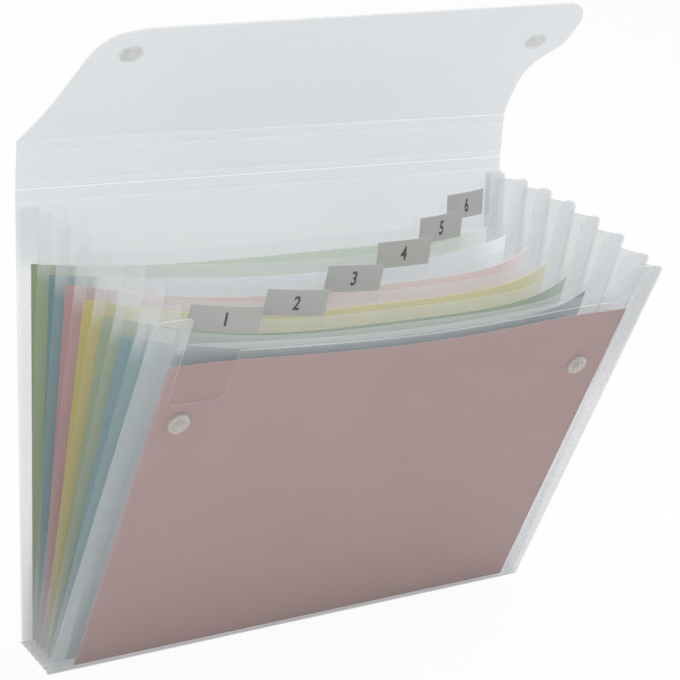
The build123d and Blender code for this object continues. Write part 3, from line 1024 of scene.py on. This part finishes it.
# %% [markdown]
# ## The pleated base
# The panels' feet stand on a base folded up and down like a paper fan. Its line in side view goes up
# to each foot and down to the table between them, with the folds rounded off a little, and ends flat
# under the front cover. It is drawn out across the width, and draws together as the file shuts.

# %% Base
BASE_WALL = 0.5 * MM
BASE_SKIN = 0.45 * MM
BASE_RISE = 1.5 * MM
BASE_END = 0.3 * MM
BASE_PITCH = 25.0 * MM


def rounded(line, rounds=2):
    """Cuts the corners off a line of points, so that its folds turn softly."""
    for _ in range(rounds):
        cut = [line[0]]
        for first, second in zip(line, line[1:]):
            cut += [first.lerp(second, 0.25), first.lerp(second, 0.75)]
        line = cut + [line[-1]]
    return line


def base_film():
    """The folded base, from the solid's own rear edge to the foot of the front cover."""
    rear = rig.box("base_gusset")[1].y
    feet = [PLANES[name].foot.y for name in ROW]
    downs = [(first + second) / 2 for first, second in zip(feet, feet[1:])]
    line = [Vector((0, rear - BASE_END, BASE_WALL / 2))]
    for foot, down in zip(feet, downs):
        line += [Vector((0, foot, BASE_RISE + BASE_WALL / 2)), Vector((0, down, BASE_WALL / 2))]
    line.append(Vector((0, feet[-1] - COVER_WALL / 2, BASE_WALL / 2)))
    line = rounded(line)

    def place(x, point):
        return Vector((x, point.y, max(point.z, BASE_WALL / 2)))

    points, faces = grid(steps(-HALF_WIDTH, HALF_WIDTH, BASE_PITCH), line, place)
    obj = sheet("base_gusset_film", points, faces, BASE_SKIN, [BASE_FILM, THIN_EDGE_FILM])
    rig.ride(obj, "base")
    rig.slot(obj, "pleat_film")
    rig.replaces(obj, "base_gusset")
    shut = [(PLANES[name].foot - PLANES[name].up * SWING_BELOW).y for name in (ROW[0], ROW[-1])]
    keep = (shut[0] - shut[1]) / (feet[0] - feet[-1])
    still = (shut[0] - keep * feet[0]) / (1 - keep)
    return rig.squash(obj, "front_fan", axis=(0, 1, 0), anchor=(0, still, 0), keep=keep)


print(base_film().name, "on the table")

# %% [markdown]
# ## Press studs
# Each stud is turned plastic: on the front cover a rim with a knob, on the flap a socket ring with a
# cap behind it. A turned piece is a line of radius and height, in millimetres, swept round an axis.
# The Screw modifier does that too, but here the axis leans with the panel, so the rings of points are
# set on the panel's own plane.

# %% Studs
STUD_UP = 174.0 * MM
STUD_SIDES = 40
STUD_MERGE = 0.001 * MM
STUD_SHARP = math.radians(40)
POST_LINE = [(0, 1.6), (1.6, 1.6), (2.2, 1.45), (2.5, 1.1), (2.35, 0.75), (2.7, 0.5), (4.3, 0.42),
             (5.0, 0.55), (5.5, 0.8), (5.95, 0.78), (6.2, 0.5), (6.2, 0.05), (6.0, 0), (0, 0)]
RING_LINE = [(2.1, 0), (6.0, 0), (6.2, -0.2), (6.2, -0.6), (5.9, -0.8), (2.5, -0.8), (2.1, -0.6), (2.1, 0)]
SOCKET_LINE = [(3.0, 0), (6.0, 0), (6.2, 0.2), (6.2, 0.6), (5.9, 0.8), (5.2, 0.72), (4.6, 0.55),
               (4.0, 0.72), (3.5, 0.8), (3.1, 0.65), (3.0, 0.4), (3.0, 0)]
CAP_LINE = [(0, 0), (6.0, 0), (6.2, -0.2), (6.2, -0.5), (5.8, -0.72), (4.0, -0.8), (0, -0.8)]


def turned(line, plane, x, up, depth):
    """Points and faces of a line swept round an axis that stands off a panel."""
    points = []
    faces = []
    ringed = []
    for radius, height in line:
        if radius == 0:
            ringed.append([len(points)] * STUD_SIDES)
            points.append(plane.at(x, up, depth + height * MM))
            continue
        ring = []
        for side in range(STUD_SIDES):
            angle = math.tau * side / STUD_SIDES
            ring.append(len(points))
            out = (x + radius * MM * math.cos(angle), up + radius * MM * math.sin(angle))
            points.append(plane.at(*out, depth + height * MM))
        ringed.append(ring)
    for first, second in zip(ringed, ringed[1:]):
        for side in range(STUD_SIDES):
            after = (side + 1) % STUD_SIDES
            corners = [first[side], first[after], second[after], second[side]]
            face = tuple(dict.fromkeys(corners))
            if len(face) > 2:
                faces.append(face)
    return points, faces


def close_up(obj):
    """Merges doubled points and turns every face outwards."""
    shape = bmesh.new()
    shape.from_mesh(obj.data)
    bmesh.ops.remove_doubles(shape, verts=shape.verts, dist=STUD_MERGE)
    bmesh.ops.recalc_face_normals(shape, faces=shape.faces)
    shape.to_mesh(obj.data)
    shape.free()
    obj.data.shade_smooth()
    obj.data.set_sharp_from_angle(angle=STUD_SHARP)
    return obj


def stud_pair(node, plane, line, up, depth):
    """The two pieces of one kind of stud, left and right."""
    points = []
    faces = []
    for x in (-STUD_X, STUD_X):
        more, round_faces = turned(line, plane, x, up, depth)
        faces += [tuple(index + len(points) for index in face) for face in round_faces]
        points += more
    obj = close_up(add_mesh(f"{node}_turned", points, faces, [STUD_PLASTIC]))
    return put(obj, plane, "stud_plastic", node)


STUD_BOW = bow("front_cover", STUD_X, STUD_UP)
FRONT_FACE = COVER_WALL / 2
stud_pair("front_stud_posts", PLANES["front_cover"], POST_LINE, STUD_UP, STUD_BOW + FRONT_FACE)
stud_pair("front_stud_rings", PLANES["front_cover"], RING_LINE, STUD_UP, STUD_BOW - FRONT_FACE)
stud_pair("flap_stud_sockets", PLANES["closing_flap"], SOCKET_LINE, FLAP_STUD, FRONT_FACE)
stud_pair("flap_stud_caps", PLANES["closing_flap"], CAP_LINE, FLAP_STUD, -FRONT_FACE)
print("studs turned with", STUD_SIDES, "sides, bow under the front ones", round(STUD_BOW / MM, 2), "mm")

# %% [markdown]
# ## The weld marks
# The pleats are welded to the panels by a tool with a fine grid of points, which leaves rows of tiny
# pads down the side margins. Geometry Nodes suit that: a narrow grid gives the points, and one small
# pad is placed on each of them.

# %% Weld pads
WELD_PITCH = 1.7 * MM
WELD_BAND = (153.0 * MM, 160.5 * MM)
WELD_UP = (6.0 * MM, 234.0 * MM)
WELD_RADIUS = 0.5 * MM
WELD_HIGH = 0.25
PAD_SIDES = 6
PAD_RINGS = 4


def weld_tree():
    """A node tree that puts a flattened pad on every point of a mesh."""
    tree = bpy.data.node_groups.new("weld_pads", "GeometryNodeTree")
    face = tree.interface
    face.new_socket("Geometry", in_out="INPUT", socket_type="NodeSocketGeometry")
    face.new_socket("Radius", in_out="INPUT", socket_type="NodeSocketFloat")
    face.new_socket("Tilt", in_out="INPUT", socket_type="NodeSocketFloat")
    face.new_socket("Material", in_out="INPUT", socket_type="NodeSocketMaterial")
    face.new_socket("Geometry", in_out="OUTPUT", socket_type="NodeSocketGeometry")
    start = tree.nodes.new("NodeGroupInput")
    end = tree.nodes.new("NodeGroupOutput")
    pad = tree.nodes.new("GeometryNodeMeshUVSphere")
    pad.inputs["Segments"].default_value = PAD_SIDES
    pad.inputs["Rings"].default_value = PAD_RINGS
    shape = tree.nodes.new("ShaderNodeCombineXYZ")
    shape.inputs[0].default_value = 1.0
    shape.inputs[1].default_value = WELD_HIGH
    shape.inputs[2].default_value = 1.0
    turn = tree.nodes.new("ShaderNodeCombineXYZ")
    place = tree.nodes.new("GeometryNodeInstanceOnPoints")
    real = tree.nodes.new("GeometryNodeRealizeInstances")
    coat = tree.nodes.new("GeometryNodeSetMaterial")
    link = tree.links.new
    link(start.outputs["Radius"], pad.inputs["Radius"])
    link(start.outputs["Tilt"], turn.inputs[0])
    link(start.outputs["Geometry"], place.inputs["Points"])
    link(pad.outputs["Mesh"], place.inputs["Instance"])
    link(turn.outputs[0], place.inputs["Rotation"])
    link(shape.outputs[0], place.inputs["Scale"])
    link(place.outputs[0], real.inputs[0])
    link(real.outputs[0], coat.inputs["Geometry"])
    link(start.outputs["Material"], coat.inputs["Material"])
    link(coat.outputs[0], end.inputs[0])
    return tree


WELD_TREE = weld_tree()


def weld_pads(name, facing, finish):
    """Rows of pads down both side margins of a panel, on its front (1) or rear (-1) face."""
    plane = PLANES[name]
    points = []
    for side in (-1, 1):
        for x in steps(*WELD_BAND, WELD_PITCH):
            for up in steps(*WELD_UP, WELD_PITCH):
                points.append(plane.at(side * x, up, bow(name, x, up) + facing * wall_of(name)))
    obj = add_mesh(f"{name}_weld_pads", points, [], [])
    pads = obj.modifiers.new("pads", "NODES")
    pads.node_group = WELD_TREE
    lean = math.atan2(-plane.up.y, plane.up.z)
    values = {"Radius": WELD_RADIUS, "Tilt": lean, "Material": finish}
    for item in WELD_TREE.interface.items_tree:
        if item.in_out == "INPUT" and item.name in values:
            pads[item.identifier] = values[item.name]
    settle(obj)
    return flatten(put(obj, plane, "pleat_film"), plane)


WELDS = (("front_cover", 1, FRONT_WELD), ("front_panel", 1, REAR_WELD), ("back_cover", -1, REAR_WELD))
for welded, welded_face, weld_finish in WELDS:
    print(weld_pads(welded, welded_face, weld_finish).name, "placed")

# %% [markdown]
# ## Floor and light
# The object stands on a white floor under a white sky, lit by one large soft lamp above and a weaker
# one from the front left. More light would make the floor white too, but it would bleach the film. So
# the floor and the sky are white only to rays that come straight from the camera, or by way of gloss.

# %% Stage
FLOOR_SIZE = 6.0
FLOOR_WHITE = 0.94
FLOOR_PAINT = (0.92, 0.92, 0.92, 1)
WHITE = (1, 1, 1, 1)
SKY_LIGHT = 0.5
LAMPS = {"key": ((0.45, 0.1, 1.5), 1.3, 14.0), "fill": ((-1.2, -1.2, 0.7), 1.0, 5.0)}
LAMPS_FACE = (0, 0, 0.12)


def seen_directly(tree):
    """1 for rays that come from the camera, or by way of gloss or glass; 0 for light on the scene."""
    rays = tree.nodes.new("ShaderNodeLightPath")
    total = rays.outputs["Is Camera Ray"]
    for name in ("Is Glossy Ray", "Is Transmission Ray"):
        larger = tree.nodes.new("ShaderNodeMath")
        larger.operation = "MAXIMUM"
        tree.links.new(total, larger.inputs[0])
        tree.links.new(rays.outputs[name], larger.inputs[1])
        total = larger.outputs[0]
    return total


def floor_finish():
    """White floor: mostly plain white to the eye, with some of the object's shadow left on it."""
    made = Finish("white_floor")
    direct = seen_directly(made.tree)
    share = Value(made, direct) * FLOOR_WHITE
    matt = made.node("BsdfDiffuse", inputs={"Color": FLOOR_PAINT})
    glow = made.node("Emission", inputs={"Color": WHITE, "Strength": 1.0})
    both = made.node("MixShader", inputs={0: share, 1: matt, 2: glow})
    made.tree.links.new(both.socket, made.end.inputs["Surface"])
    return made.material


corner_signs = ((-1, -1), (1, -1), (1, 1), (-1, 1))
floor_corners = [(x * FLOOR_SIZE / 2, y * FLOOR_SIZE / 2, 0) for x, y in corner_signs]
floor = add_mesh("floor", floor_corners, [(0, 1, 2, 3)], [floor_finish()])
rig.stage(floor)

sky = bpy.data.worlds.new("white_sky")
bpy.context.scene.world = sky
sky.use_nodes = True
sky_nodes = sky.node_tree.nodes
sky_nodes.clear()
sky_shade = sky_nodes.new("ShaderNodeBackground")
sky_shade.inputs["Color"].default_value = WHITE
sky_level = sky_nodes.new("ShaderNodeMapRange")
sky_level.inputs[3].default_value = SKY_LIGHT
sky_level.inputs[4].default_value = 1.0
sky_end = sky_nodes.new("ShaderNodeOutputWorld")
sky.node_tree.links.new(seen_directly(sky.node_tree), sky_level.inputs[0])
sky.node_tree.links.new(sky_level.outputs[0], sky_shade.inputs["Strength"])
sky.node_tree.links.new(sky_shade.outputs[0], sky_end.inputs[0])


def soft_lamp(name, place, size, power):
    """A square lamp that faces the middle of the object."""
    lamp = bpy.data.lights.new(name, "AREA")
    lamp.size = size
    lamp.energy = power
    holder = bpy.data.objects.new(name, lamp)
    holder.location = place
    holder.rotation_euler = (Vector(LAMPS_FACE) - Vector(place)).to_track_quat("-Z", "Y").to_euler()
    bpy.context.scene.collection.objects.link(holder)
    return holder


for lamp_name, (lamp_place, lamp_size, lamp_power) in LAMPS.items():
    soft_lamp(lamp_name, lamp_place, lamp_size, lamp_power)
    print(lamp_name, "lamp of", lamp_power, "watts")

# %% [markdown]
# ## The camera
# The camera stands to the front left, has the photograph's long lens and is turned a little about its own
# axis. Its heading, dip and roll are plain angles, and its three directions are worked out from them, which
# is easier to read than Euler angles. A ray may pass many layers of clear film before it ends, so the
# limit on transparent layers is raised.

# %% Camera
EYE = Vector((-618.0, -834.9, 598.4)) * MM
TURN = math.radians(36.93)
DIP = math.radians(22.26)
ROLL = math.radians(8.59)
LENS_PIXELS = 2018.16
FRAME_PIXELS = 680
SENSOR = 36.0
FAR_CLIP = 20.0
FILM_LAYERS = 96


def camera_frame():
    """The camera's right, up and backward directions from its heading, dip and roll."""
    ahead = Vector((math.sin(TURN) * math.cos(DIP), math.cos(TURN) * math.cos(DIP), -math.sin(DIP)))
    right = Vector((math.cos(TURN), -math.sin(TURN), 0))
    up = right.cross(ahead)
    rolled = right * math.cos(ROLL) + up * math.sin(ROLL)
    raised = up * math.cos(ROLL) - right * math.sin(ROLL)
    return rolled, raised, -ahead


lens = bpy.data.cameras.new("camera")
lens.sensor_width = SENSOR
lens.sensor_fit = "HORIZONTAL"
lens.lens = LENS_PIXELS / FRAME_PIXELS * SENSOR
lens.clip_end = FAR_CLIP
camera = bpy.data.objects.new("camera", lens)
bpy.context.scene.collection.objects.link(camera)
camera.matrix_world = Matrix.Translation(EYE) @ Matrix(camera_frame()).transposed().to_4x4()
bpy.context.scene.camera = camera
bpy.context.scene.view_settings.view_transform = "Standard"
bpy.context.scene.cycles.transparent_max_bounces = FILM_LAYERS
print("camera lens", round(lens.lens, 1), "mm")

# %% [markdown]
# ## Sizes
# The dressed file should be no larger than the solids, so both boxes are written down side by side.

# %% Sizes and finish
with open("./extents.json", "w") as sizes:
    boxes = {"cad": CAD_BOX, "visual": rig.bounds()}
    json.dump({name: [list(corner) for corner in box] for name, box in boxes.items()}, sizes)
print("sizes written")
